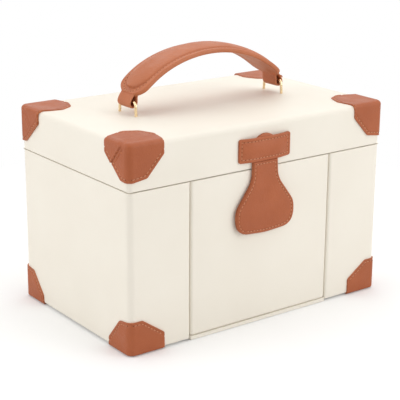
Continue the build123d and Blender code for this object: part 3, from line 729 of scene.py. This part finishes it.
def cap_mesh(pattern):
    """A cap in its corner's own frame: u along the front, v along the flank, w from the rim."""
    soft = [-cap_proud + cap_bend * n / cap_bend_steps for n in range(cap_bend_steps)]
    flat_from = soft[-1] + 0.0005
    joined = bmesh.new()
    for leaf, (first, second, fixed) in cap_faces.items():
        grid = bmesh.new()
        lines = []
        for axis in (first, second):
            count = int((pattern["reach"][axis] - flat_from) / cap_grid)
            lines.append(soft + [flat_from + cap_grid * n for n in range(count)])
        rows = []
        for a in lines[0]:
            row = []
            for b in lines[1]:
                point = Vector((0, 0, 0))
                point[first], point[second], point[fixed] = a, b, -cap_proud
                row.append(grid.verts.new(bent(point, pattern["rim"], pattern["upright"])))
            rows.append(row)
        quads(grid, rows)
        line = cap_line(pattern, leaf, 0)
        for a, b in zip(line, line[1:]):
            if (b - a).length < 1e-6:
                continue
            level, outward = Vector((0, 0, 0)), Vector((0, 0, 0))
            level[first], level[second] = a
            outward[first], outward[second] = (b - a).y, -(b - a).x
            slice_at(grid, level, outward, clear=True)
        join(joined, grid)
    bmesh.ops.remove_doubles(joined, verts=joined.verts, dist=0.00002)
    bmesh.ops.recalc_face_normals(joined, faces=joined.faces)
    joined.normal_update()
    if sum(sum(v.normal) for v in joined.verts) > 0:
        bmesh.ops.reverse_faces(joined, faces=joined.faces)
        joined.normal_update()
    spots = np.array([v.co[:] for v in joined.verts])
    normals = np.array([v.normal[:] for v in joined.verts])
    edge = np.full(len(spots), 1.0)
    for leaf, (first, second, fixed) in cap_faces.items():
        far = distances(spots[:, [first, second]], cap_line(pattern, leaf, 0)[1:-1])
        edge = np.where(-normals[:, fixed] > 0.25, np.minimum(edge, far), edge)
    lift = ripple(edge, -groove_deep, seam_inset, groove_wide)
    if pattern is cap_patterns["lid"]:
        lift = lift + pleat(spots, normals)
    for v, spot in zip(joined.verts, spots + normals * lift[:, None]):
        v.co = spot
    return joined


lid_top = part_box("lid_shell")[1][2]
wing_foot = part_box("left_wing_shell")[0][2]
case_x, case_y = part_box("lid_shell")[1][0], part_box("lid_shell")[1][1]


def on_case(spot, side, end, down):
    """A point in a cap's own frame as a point of the case, at the corner it is told."""
    u, v, w = spot
    rim_z = lid_top if down > 0 else wing_foot
    return Vector((side * (case_x - u), end * (case_y - v), rim_z - down * w))


cap_shapes = {level: cap_mesh(pattern) for level, pattern in cap_patterns.items()}
for name in [
    f"{end}_{side}_{level}_cap"
    for end in ("front", "rear")
    for side in ("left", "right")
    for level in ("lid", "foot")
]:
    front_rear, left_right, level, _ = name.split("_")
    side = -1 if left_right == "left" else 1
    end = -1 if front_rear == "front" else 1
    down = 1 if level == "lid" else -1
    body = cap_shapes[level].copy()
    for v in body.verts:
        v.co = on_case(v.co, side, end, down)
    if side * end * down > 0:
        bmesh.ops.reverse_faces(body, faces=body.faces)
    rides = "lid" if down > 0 else f"{left_right}_wing"
    cap = piece_from(f"{name}_leather", body, tan_leather, rides)
    skin = cap.modifiers.new("skin", "SOLIDIFY")
    skin.thickness = cap_skin
    skin.offset = -1
    rounded = cap.modifiers.new("rim", "BEVEL")
    rounded.limit_method = "ANGLE"
    rounded.angle_limit = math.radians(60)
    rounded.width = cap_edge_round
    rounded.segments = 2
    apply(cap)
    smooth(cap, 60)
    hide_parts(name)
    tree = surface_of(cap)
    seams = []
    for leaf, (first, second, fixed) in cap_faces.items():
        if leaf == "top" and down < 0:
            continue
        path = []
        for a, b in cap_line(cap_patterns[level], leaf, seam_inset):
            if min(a, b) >= seam_start:
                spot = [seam_off] * 3
                spot[first], spot[second] = a, b
                path.append(on_case(spot, side, end, down))
        look = [0, 0, 0]
        look[fixed] = (-side, -end, -down)[fixed]
        seams.append((tree, path, look))
    sew(f"{name}_stitches", seams, rides)

# Catch: a stiff leather strap lies under a stitched keeper, and its tongue hangs in front.
# The tongue is two layers sewn around the rim over a magnet, and its cut edge is burnished.
# Each profile below goes round an edge: how far in from the outline, and how high.
keeper_low, keeper_high = (Vector(c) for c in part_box("keeper"))
strap_low, strap_high = (Vector(c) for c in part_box("strap_end"))
tongue_low, tongue_high = (Vector(c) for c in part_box("latch_tongue"))
case_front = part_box("lid_shell")[0][1]
keeper_skin = 0.0018
keeper_round = 0.0026
keeper_seam = 0.0029
keeper_profile = [
    (0.0002, 0.0), (0.0, 0.0003), (0.0, keeper_skin - 0.0005),
    (0.00015, keeper_skin - 0.00015), (0.0005, keeper_skin), (0.0013, keeper_skin + 0.0001),
    (0.0021, keeper_skin), (0.0026, keeper_skin - 0.00035), (0.0031, keeper_skin - 0.00035),
    (0.0037, keeper_skin),
]
outline_pitch = 0.0015


def inset(outline, amount):
    """A closed outline moved inward; where it would cross itself it meets in a mitre."""
    count = len(outline)
    spots, ways = [], []
    for n in range(count):
        run = (outline[(n + 1) % count] - outline[n - 1]).normalized()
        spots.append(outline[n] + Vector((-run.y, run.x)) * amount)
        ways.append(run)
    if amount <= 0:
        return spots
    edge = [tuple(p) for p in outline] + [tuple(outline[0])]
    far = distances(np.array([tuple(p) for p in spots]), edge)
    sound = [gap > amount - 0.00004 for gap in far]
    if all(sound) or not any(sound):
        return spots
    start = next(n for n in range(count) if sound[n] and not sound[(n + 1) % count])
    n = start
    while n < start + count:
        if sound[n % count]:
            n += 1
            continue
        last, after = (n - 1) % count, n
        while not sound[after % count]:
            after += 1
        a, b = spots[last], spots[after % count]
        run, back = ways[last], ways[after % count]
        across = run.x * back.y - run.y * back.x
        meet = (a + b) / 2
        if abs(across) > 0.05:
            share = ((b.x - a.x) * back.y - (b.y - a.y) * back.x) / across
            if abs(share) < 0.02:
                meet = a + run * share
        for m in range(n, after):
            spots[m % count] = meet
        n = after
    return spots


def plate(outline, profile, shape, lines):
    """Leather cut to an outline, its edge built up of rings, then bent to its shape."""
    body = bmesh.new()
    tube(
        body,
        [
            [body.verts.new((p.x, p.y, height)) for p in inset(outline, amount)]
            for amount, height in profile
        ],
    )
    bmesh.ops.remove_doubles(body, verts=body.verts, dist=0.000001)
    for axis, level in lines:
        spot, way = Vector((0, 0, 0)), Vector((0, 0, 0))
        spot[axis], way[axis] = level, 1
        slice_at(body, spot, way)
    for v in body.verts:
        v.co = shape(*v.co)
    return body


def rounded_outline(corners, radii):
    """A closed outline from corner points, each rounded, with close even points."""
    corners = [Vector(c) for c in corners]
    out = []
    for n, here in enumerate(corners):
        before, after = corners[n - 1], corners[(n + 1) % len(corners)]
        a, b = (before - here).normalized(), (after - here).normalized()
        cut = radii[n] / math.tan(a.angle(b) / 2)
        out += corner_curve(here + a * cut, here, here + b * cut, 8)
    full = []
    for point, after in zip(out, out[1:] + out[:1]):
        pieces = max(int((after - point).length / outline_pitch), 1)
        if (after - point).length > 1e-7:
            full += [point.lerp(after, m / pieces) for m in range(pieces)]
    return full


strap_stand = case_front - strap_low.y
mid_z = (keeper_low.z + keeper_high.z) / 2
half_x = (keeper_high.x - keeper_low.x) / 2
half_z = (keeper_high.z - keeper_low.z) / 2
keeper_edge = rounded_outline(
    [(-half_x, -half_z), (half_x, -half_z), (half_x, half_z), (-half_x, half_z)],
    [keeper_round] * 4,
)


def keeper_shape(a, b, height):
    """Bends the keeper: it lies on the lid at its ends and is drawn tight over the strap."""
    share = min(max((abs(a) - 0.0115) / 0.0145, 0), 1)
    over_strap = (strap_stand - 0.0002) * (1 - share * share * (1.9 - 0.9 * share))
    return Vector((a, case_front - over_strap - height, mid_z + b))


keeper_lines = [(0, n * 0.0015) for n in range(-15, 16)]
keeper_body = plate(keeper_edge, keeper_profile, keeper_shape, keeper_lines)
keeper = piece_from("keeper_leather", keeper_body, tan_leather, "lid")
smooth(keeper, 50)
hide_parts("keeper")
keeper_path = [
    Vector((p.x, keeper_low.y, mid_z + p.y)) for p in inset(keeper_edge, keeper_seam)
]
keeper_path.append(keeper_path[0])
sew("keeper_stitches", [(surface_of(keeper), keeper_path, (0, 1, 0))], "lid")

tip_half = (strap_high.x - strap_low.x) / 2
tip_thick = strap_high.y - strap_low.y
tip_steps = 32
tip_edge = []
for step in range(tip_steps + 1):
    turn = math.pi * step / tip_steps
    tip_edge.append(
        Vector((tip_half * math.cos(turn), strap_high.z - tip_half + tip_half * math.sin(turn)))
    )
tip_edge += [
    Vector((-tip_half, strap_low.z + 0.001)),
    Vector((-tip_half, strap_low.z)),
    Vector((tip_half, strap_low.z)),
    Vector((tip_half, strap_low.z + 0.001)),
]
tip_profile = [
    (0.0003, 0.0), (0.0, 0.0003), (0.0, tip_thick / 2 - 0.0004), (0.0007, tip_thick / 2),
    (0.0, tip_thick / 2 + 0.0004), (0.0, tip_thick - 0.0004), (0.0004, tip_thick),
]
tip_body = plate(
    tip_edge, tip_profile, lambda a, b, height: Vector((a, strap_high.y - height, b)), []
)
tip = piece_from("strap_tip_leather", tip_body, tan_leather, "lid")
smooth(tip, 50)
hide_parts("strap_end")

tongue_thick = 0.0033
tongue_seam = 0.0026
top = tongue_high.z
tongue_edge = rounded_outline(
    [
        (0.0133, top),
        (-0.0133, top),
        (-0.0141, top - 0.0169),
        (-0.0318, top - 0.0409),
        (-0.0316, top - 0.0622),
        (0.0, top - 0.0644),
        (0.0316, top - 0.0622),
        (0.0318, top - 0.0409),
        (0.0141, top - 0.0169),
    ],
    [0.0006, 0.0006, 0.020, 0.0175, 0.0145, 0.060, 0.0145, 0.0175, 0.020],
)
tongue_profile = [
    (0.0005, 0.0), (0.0, 0.0005), (0.0, tongue_thick / 2 - 0.0002),
    (0.0002, tongue_thick / 2), (0.0, tongue_thick / 2 + 0.0002), (0.0, tongue_thick - 0.0009),
    (0.00025, tongue_thick - 0.00035), (0.0008, tongue_thick), (0.0013, tongue_thick + 0.00015),
    (0.0019, tongue_thick + 0.00005), (0.0024, tongue_thick - 0.00035),
    (0.0029, tongue_thick - 0.00035), (0.0036, tongue_thick), (0.0050, tongue_thick),
]
tongue_drops = (0.0, 0.010, 0.022, 0.034, 0.070)
tongue_stands = (0.0, 0.0003, 0.0009, 0.0013, 0.0015)


def tongue_shape(a, b, height):
    """Bends the tongue out from the case: it leaves the keeper flat and hangs clear below."""
    stand = float(np.interp(top - b, tongue_drops, tongue_stands))
    return Vector((a, tongue_high.y - stand - height, b))


tongue_lines = [(1, top - 0.002 * n) for n in range(1, 32)]
tongue_body = plate(tongue_edge, tongue_profile, tongue_shape, tongue_lines)
tongue = piece_from("tongue_leather", tongue_body, tan_leather, None)
smooth(tongue, 50)
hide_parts("latch_tongue")
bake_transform(tongue)
path = [
    Vector((p.x, tongue_low.y, p.y)) for p in inset(tongue_edge, tongue_seam) if p.y < top - 0.0015
]
first = max(range(len(path)), key=lambda n: (path[n] - path[n - 1]).length)
seam = (surface_of(tongue), path[first:] + path[:first], (0, 1, 0))
tongue_stitches = sew("tongue_stitches", [seam], None)
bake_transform(tongue_stitches)

# Handle rings: gold-plated wire staples, bent round at both corners of the bar.
# Their legs splay a little, go down through the lid and are spread under its lining board.
wire_radius = 0.00125
bar_flat = 0.0094
leg_splay = 0.0006
knee_drop = 0.0052
knee_steps = 12


def round_wire(path):
    """A wire along points, closed at its ends."""
    curve = bpy.data.curves.new("wire", "CURVE")
    curve.dimensions = "3D"
    curve.bevel_depth = wire_radius
    curve.bevel_resolution = 5
    curve.use_fill_caps = True
    spline = curve.splines.new("POLY")
    spline.points.add(len(path) - 1)
    for held, point in zip(spline.points, path):
        held.co = (*point, 1)
    holder = bpy.data.objects.new("wire", curve)
    scene.collection.objects.link(holder)
    bpy.context.view_layer.update()
    seen = holder.evaluated_get(bpy.context.evaluated_depsgraph_get())
    mesh = bpy.data.meshes.new_from_object(seen)
    bpy.data.objects.remove(holder)
    body = bmesh.new()
    body.from_mesh(mesh)
    bmesh.ops.remove_doubles(body, verts=body.verts, dist=1e-6)
    return body


for side in ("left", "right"):
    low, high = (Vector(c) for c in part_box(f"{side}_handle_ring"))
    x = (low.x + high.x) / 2
    foot_y = (high.y - low.y) / 2 - wire_radius
    bar_z = high.z - wire_radius
    knee_y, knee_z = foot_y - leg_splay, bar_z - knee_drop
    run = [(foot_y, low.z), (foot_y, lid_top)]
    for step in range(knee_steps + 1):
        turn = math.radians(90 * step / knee_steps)
        out, up = math.cos(turn), math.sin(turn)
        run.append((bar_flat + (knee_y - bar_flat) * out, knee_z + (bar_z - knee_z) * up))
    path = [Vector((x, -y, z)) for y, z in run] + [Vector((x, y, z)) for y, z in reversed(run)]
    ring = piece_from(f"{side}_ring_wire", round_wire(path), pale_gold, "lid")
    smooth(ring, 50)
    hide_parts(f"{side}_handle_ring")

# Handle: a leather strap on a stiff core, arched up, with a padded grip sewn along its top.
# Its narrow ends are turned round the bars of the rings and stitched back on themselves.
strap_thick = 0.0040
arch_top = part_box("handle_strap")[1][2] - 0.0020
crown_bend, crown_turn = 0.115, math.radians(25.2)
flank_bend, flank_turn = 0.105, math.radians(16.0)
leg_turn = crown_turn + flank_turn
crown_settle, settle_reach = 0.0011, 0.075
crown_lean, lean_reach = 0.0017, 0.0935
handle_shift = 0.0003
ring_x = (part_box("right_handle_ring")[0][0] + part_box("right_handle_ring")[1][0]) / 2
loop_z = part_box("right_handle_ring")[1][2] - 0.00255
tab_half = 0.0096
strap_end_at = 0.0882
strap_widths = [
    (0.0, 0.0186),
    (0.040, 0.0192),
    (0.066, 0.0195),
    (0.0762, 0.0192),
    (0.0810, 0.0179),
    (0.0844, 0.0149),
    (0.0865, 0.0119),
    (strap_end_at, tab_half),
    (0.120, tab_half),
]
strap_spans = 64
pad_border = 0.0047
pad_straight, pad_end = 0.064, 0.0832
pad_rise = 0.0029
pad_groove, pad_groove_wide = 0.0006, 0.0006


def arch_point(length):
    """The arch's middle line at a length from its top: place and the way it heads."""
    settled = crown_settle * math.cos(min(length / settle_reach, 1) * math.pi / 2) ** 2
    heading = min(length / crown_bend, crown_turn)
    x = crown_bend * math.sin(heading)
    z = arch_top - crown_bend * (1 - math.cos(heading))
    length -= heading * crown_bend
    if length > 0:
        turned = min(length / flank_bend, flank_turn)
        x += flank_bend * (math.sin(heading + turned) - math.sin(heading))
        z -= flank_bend * (math.cos(heading) - math.cos(heading + turned))
        heading += turned
        length -= turned * flank_bend
    if length > 0:
        x += length * math.cos(heading)
        z -= length * math.sin(heading)
    return x, z - settled, heading


def arch_frame(length):
    """The middle line's place and the way up from it, on either side of the top."""
    x, z, heading = arch_point(abs(length))
    way = 1 if length >= 0 else -1
    lean = crown_lean * (1 - (min(abs(length), lean_reach) / lean_reach) ** 4)
    up = Vector((way * math.sin(heading), 0, math.cos(heading)))
    return Vector((way * x - lean - handle_shift, 0, z)), up


def strap_half(length):
    """Half the strap's width at a length from the middle, on a smooth curve through its sizes."""
    length = abs(length)
    spots = strap_widths
    for n in range(len(spots) - 1):
        (x0, w0), (x1, w1) = spots[n], spots[n + 1]
        if length <= x1:
            before = spots[max(n - 1, 0)]
            after = spots[min(n + 2, len(spots) - 1)]
            m0 = (w1 - before[1]) / (x1 - before[0]) if n else 0
            m1 = (after[1] - w0) / (after[0] - x0) if n + 2 < len(spots) else 0
            span = x1 - x0
            t = (length - x0) / span
            return (
                (2 * t**3 - 3 * t**2 + 1) * w0
                + (t**3 - 2 * t**2 + t) * span * m0
                + (3 * t**2 - 2 * t**3) * w1
                + (t**3 - t**2) * span * m1
            )
    return spots[-1][1]


def pad_half(length):
    """Half the grip's width at a length from the middle, 0 past its round ends."""
    length = abs(length)
    wide = strap_half(min(length, pad_straight)) - pad_border
    if length <= pad_straight:
        return wide
    share = (length - pad_straight) / (pad_end - pad_straight)
    return wide * max(1 - share**2.3, 0) ** (1 / 2.1)


def strap_top(length, across):
    """The height of the strap's upper side over its middle line."""
    inner = pad_half(length)
    height = strap_thick / 2
    if inner > 0:
        if abs(across) < inner:
            height += pad_rise * (1 - (abs(across) / inner) ** 2.6) ** 0.62
        away = abs(across) - inner
        height -= pad_groove * math.exp(-((away / pad_groove_wide) ** 2))
    rim = (strap_half(length) - abs(across)) / 0.0012
    if rim < 1:
        height -= 0.0009 * (1 - max(rim, 0)) ** 2
    return height


stations = []
length = -strap_end_at
while length < strap_end_at:
    stations.append(length)
    length += 0.0006 if abs(length) > 0.055 else 0.0011
stations.append(strap_end_at)
body = bmesh.new()
over, under = [], []
for length in stations:
    base, up = arch_frame(length)
    half = strap_half(length)
    top_line, low_line = [], []
    for m in range(strap_spans + 1):
        share = 2 * m / strap_spans - 1
        across = half * (0.55 * share + 0.45 * math.sin(share * math.pi / 2))
        rim = max(1 - (half - abs(across)) / 0.0010, 0)
        low = -strap_thick / 2 + 0.0008 * rim * rim
        beside = base + Vector((0, across, 0))
        top_line.append(body.verts.new(beside + up * strap_top(length, across)))
        low_line.append(body.verts.new(beside + up * low))
    over.append(top_line)
    under.append(low_line)
quads(body, over)
quads(body, under)
for edge in (0, -1):
    quads(body, [[line[edge] for line in over], [line[edge] for line in under]])
    quads(body, [over[edge], under[edge]])
bmesh.ops.recalc_face_normals(body, faces=body.faces)

# The handle's turned ends: the strap's upper layer goes on past the pad, round the bar
# of the ring, and back to the strap's underside, so that it hangs in a drop-shaped loop.
tab_thick = 0.0018
loop_inner = 0.00265
loop_from, loop_to, loop_steps = 0.9, math.pi + 0.35, 25
start_at = -0.0105
across_steps = 16
x, z, _ = arch_point(0.0799)
leg_way = Vector((math.cos(leg_turn), -math.sin(leg_turn)))
leg_out = Vector((math.sin(leg_turn), math.cos(leg_turn)))
rise = Vector((x - ring_x, z - loop_z)).dot(leg_out)
mid = loop_inner + tab_thick / 2
upper = rise + strap_thick / 2 - tab_thick / 2
lower = rise - strap_thick / 2 + tab_thick / 2


def curved(a, leave, arrive, d, steps):
    """Points of a smooth curve from a to d, and the ways that it leaves and arrives."""
    b, c = a + Vector(leave), d + Vector(arrive)
    shares = [n / steps for n in range(steps)]
    return [
        a * (1 - t) ** 3 + b * 3 * t * (1 - t) ** 2 + c * 3 * t * t * (1 - t) + d * t**3
        for t in shares
    ]


bar_line = []
for n in range(loop_steps + 1):
    turn = loop_from + (loop_to - loop_from) * n / loop_steps
    bar_line.append(Vector((mid * math.sin(turn), mid * math.cos(turn))))
start, stop = Vector((start_at, upper)), Vector((start_at, lower))
down_line = curved(start, (0.005, 0), (-0.0025, 0.0025), bar_line[0], 14)
back_line = curved(bar_line[-1], (-0.003, 0.0012), (0.004, 0), stop, 12)
loop_line = down_line + bar_line + back_line[1:] + [stop]
for way in (-1, 1):
    rings = []
    for n, spot in enumerate(loop_line):
        before = loop_line[max(n - 1, 0)]
        after = loop_line[min(n + 1, len(loop_line) - 1)]
        run = (after - before).normalized()
        out = Vector((-run.y, run.x))
        ring = []
        for side in (1, -1):
            for m in range(across_steps + 1):
                share = (2 * m / across_steps - 1) * side
                soft = 1 - 0.45 * abs(share) ** 14
                flat = spot + out * (side * tab_thick / 2 * soft)
                plan = leg_way * flat.x + leg_out * flat.y
                x = way * (ring_x + plan.x) - handle_shift
                ring.append(body.verts.new((x, tab_half * share, loop_z + plan.y)))
        rings.append(ring)
    bmesh.ops.recalc_face_normals(body, faces=tube(body, rings))

# The third colour is the painted highlight laid on the handle's edges and folds.
handle_tan = cowhide(
    "handle_leather", (0.50, 0.160, 0.068), (0.43, 0.130, 0.052), (0.64, 0.26, 0.13)
)
grip = piece_from("handle_leather", body, handle_tan, "handle")
smooth(grip, 50)
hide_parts("handle_strap", "handle_pad")

seam_points = 240
there, back = [], []
for n in range(seam_points + 1):
    length = pad_end * (2 * n / seam_points - 1)
    base, up = arch_frame(length)
    beside = Vector((0, pad_half(length) + 0.0003, 0))
    there.append(base + up * 0.006 - beside)
    back.append(base + up * 0.006 + beside)
seam = there + back[::-1] + there[:1]
sew("handle_stitches", [(surface_of(grip), seam, (0, 0, -1))], "handle")

# Room: a pale sweep to stand on and a wide soft box overhead, as for a product picture.
# The floor keeps the case's shadow, and the far background is plain white.
floor_lift = 0.11
fade_span = (0.26, 0.5)


def bare(holder, output):
    """The node tree of a material or world, with nothing in it but its output."""
    holder.use_nodes = True
    holder.node_tree.nodes.clear()
    return holder.node_tree, holder.node_tree.nodes.new(output).inputs[0]


def glow(tree, kind, strength, colour=(1, 1, 1)):
    node = tree.nodes.new(kind)
    node.inputs["Color"].default_value = (*colour, 1)
    node.inputs["Strength"].default_value = strength
    return node.outputs[0]


def either(tree, share, first, second):
    """One shader where the share is 0, and another where it is 1."""
    node = tree.nodes.new("ShaderNodeMixShader")
    for socket, output in zip(node.inputs, (share, first, second)):
        tree.links.new(output, socket)
    return node.outputs[0]


floor_body = bmesh.new()
bmesh.ops.create_grid(floor_body, x_segments=1, y_segments=1, size=6)
floor_mesh = bpy.data.meshes.new("floor")
floor_body.to_mesh(floor_mesh)
floor_body.free()
floor = bpy.data.objects.new("floor", floor_mesh)
scene.collection.objects.link(floor)
floor.location = (0, 0, -0.0002)
paper = bpy.data.materials.new("floor_paper")
tree, out = bare(paper, "ShaderNodeOutputMaterial")
matt = tree.nodes.new("ShaderNodeBsdfDiffuse")
matt.inputs["Color"].default_value = (0.86, 0.86, 0.86, 1)
far_off = tree.nodes.new("ShaderNodeVectorMath")
far_off.operation = "LENGTH"
tree.links.new(place(tree), far_off.inputs[0])
fade = spread(tree, far_off.outputs["Value"], fade_span)
near = tree.nodes.new("ShaderNodeAddShader")
tree.links.new(matt.outputs[0], near.inputs[0])
tree.links.new(glow(tree, "ShaderNodeEmission", floor_lift), near.inputs[1])
white = glow(tree, "ShaderNodeEmission", 1.0)
swept = either(tree, fade, near.outputs[0], white)
seen = tree.nodes.new("ShaderNodeLightPath").outputs["Is Camera Ray"]
tree.links.new(either(tree, seen, matt.outputs[0], swept), out)
floor.data.materials.append(paper)

world = bpy.data.worlds.new("room")
scene.world = world
tree, out = bare(world, "ShaderNodeOutputWorld")
soft = glow(tree, "ShaderNodeBackground", 0.58, (1, 0.995, 0.985))
plain = glow(tree, "ShaderNodeBackground", 1.0)
rays = tree.nodes.new("ShaderNodeLightPath")
seen = rays.outputs["Is Camera Ray"]
for kind in ("Is Glossy Ray", "Is Transmission Ray"):
    total = tree.nodes.new("ShaderNodeMath")
    total.operation = "ADD"
    total.use_clamp = True
    tree.links.new(seen, total.inputs[0])
    tree.links.new(rays.outputs[kind], total.inputs[1])
    seen = total.outputs[0]
tree.links.new(either(tree, seen, soft, plain), out)

for name, spot, size, watts in (
    ("top_box", (0.35, 0.25, 1.5), (2.4, 2.2), 16),
    ("front_box", (0.9, -1.5, 0.8), (1.2, 1.2), 11.2),
    ("left_box", (-1.6, 0.5, 0.8), (1.2, 1.2), 10.5),
):
    light = bpy.data.lights.new(name, "AREA")
    light.shape = "RECTANGLE"
    light.size, light.size_y = size
    light.energy = watts
    lamp = bpy.data.objects.new(name, light)
    lamp.location = spot
    aim = Vector((0, 0, 0.1)) - Vector(spot)
    lamp.rotation_euler = aim.to_track_quat("-Z", "Y").to_euler()
    scene.collection.objects.link(lamp)

camera_data = bpy.data.cameras.new("camera")
camera_data.lens = 110.0
camera_data.sensor_width = 36
camera = bpy.data.objects.new("camera", camera_data)
camera_place = Vector((-0.6438, -0.8636, 0.4264))
camera_way = Vector((0.5688, 0.7664, -0.2984)).normalized()
camera_roll = 0.0065
aim = camera_way.to_track_quat("-Z", "Y").to_matrix().to_4x4()
camera.matrix_world = (
    Matrix.Translation(camera_place) @ aim @ Matrix.Rotation(camera_roll, 4, "Z")
)
scene.collection.objects.link(camera)
scene.camera = camera
scene.view_settings.view_transform = "Standard"
